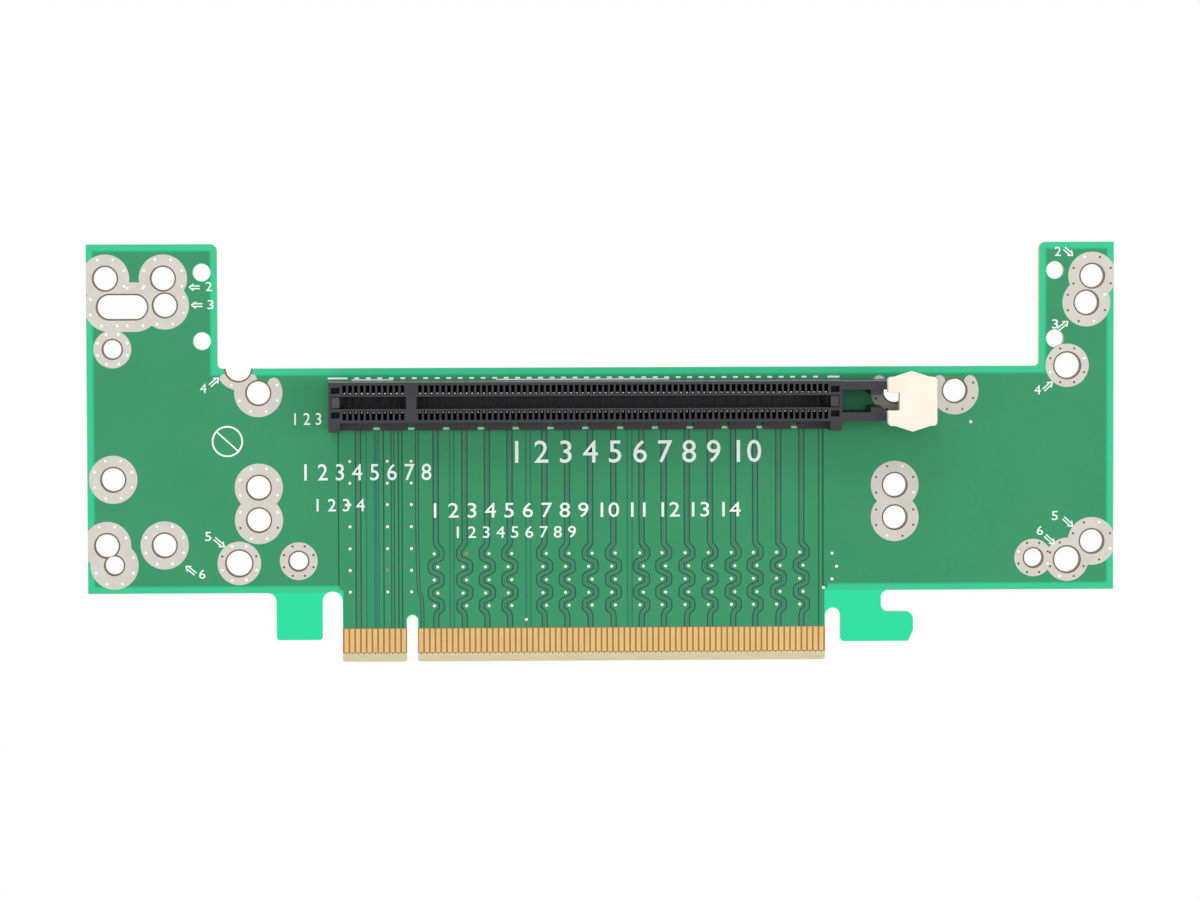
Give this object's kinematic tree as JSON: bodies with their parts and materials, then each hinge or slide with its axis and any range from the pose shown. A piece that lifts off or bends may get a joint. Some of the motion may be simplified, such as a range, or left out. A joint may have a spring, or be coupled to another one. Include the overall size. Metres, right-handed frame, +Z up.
{
  "type": "riser card",
  "caption": "Flat circuit board riser with a keyed card-edge tongue, a long expansion slot and a pivoting retention lever.",
  "frame": {"origin": "bottom centre of the whole part as it lies on its solder joints, component side up", "axes": "+X along the slot from the short to the long contact group, +Y from the tongue to the ears, +Z up from the component side"},
  "size_m": [0.1792, 0.073, 0.0172],
  "materials": {
    "laminate": "glossy solder mask over glass epoxy",
    "gold": "gold plated",
    "slot_plastic": "moulded, matte",
    "contact_alloy": "plated spring alloy",
    "lever_plastic": "satin"
  },
  "bodies": {
    "card": {"circuit_board": "laminate", "edge_contacts_front_short": "gold", "edge_contacts_front_long": "gold", "edge_contacts_back_short": "gold", "edge_contacts_back_long": "gold", "slot_housing": "slot_plastic", "slot_contacts_upper_short": "contact_alloy", "slot_contacts_upper_long": "contact_alloy", "slot_contacts_lower_short": "contact_alloy", "slot_contacts_lower_long": "contact_alloy"},
    "lever": {"latch_lever": "lever_plastic"}
  },
  "joints": [
    {"name": "lever_hinge", "type": "hinge", "parent": "card", "child": "lever", "pos_m": [0.05332, 0.00923, 0.0066], "axis": [0, 1, 0], "range_deg": [0, 25]}
  ]
}
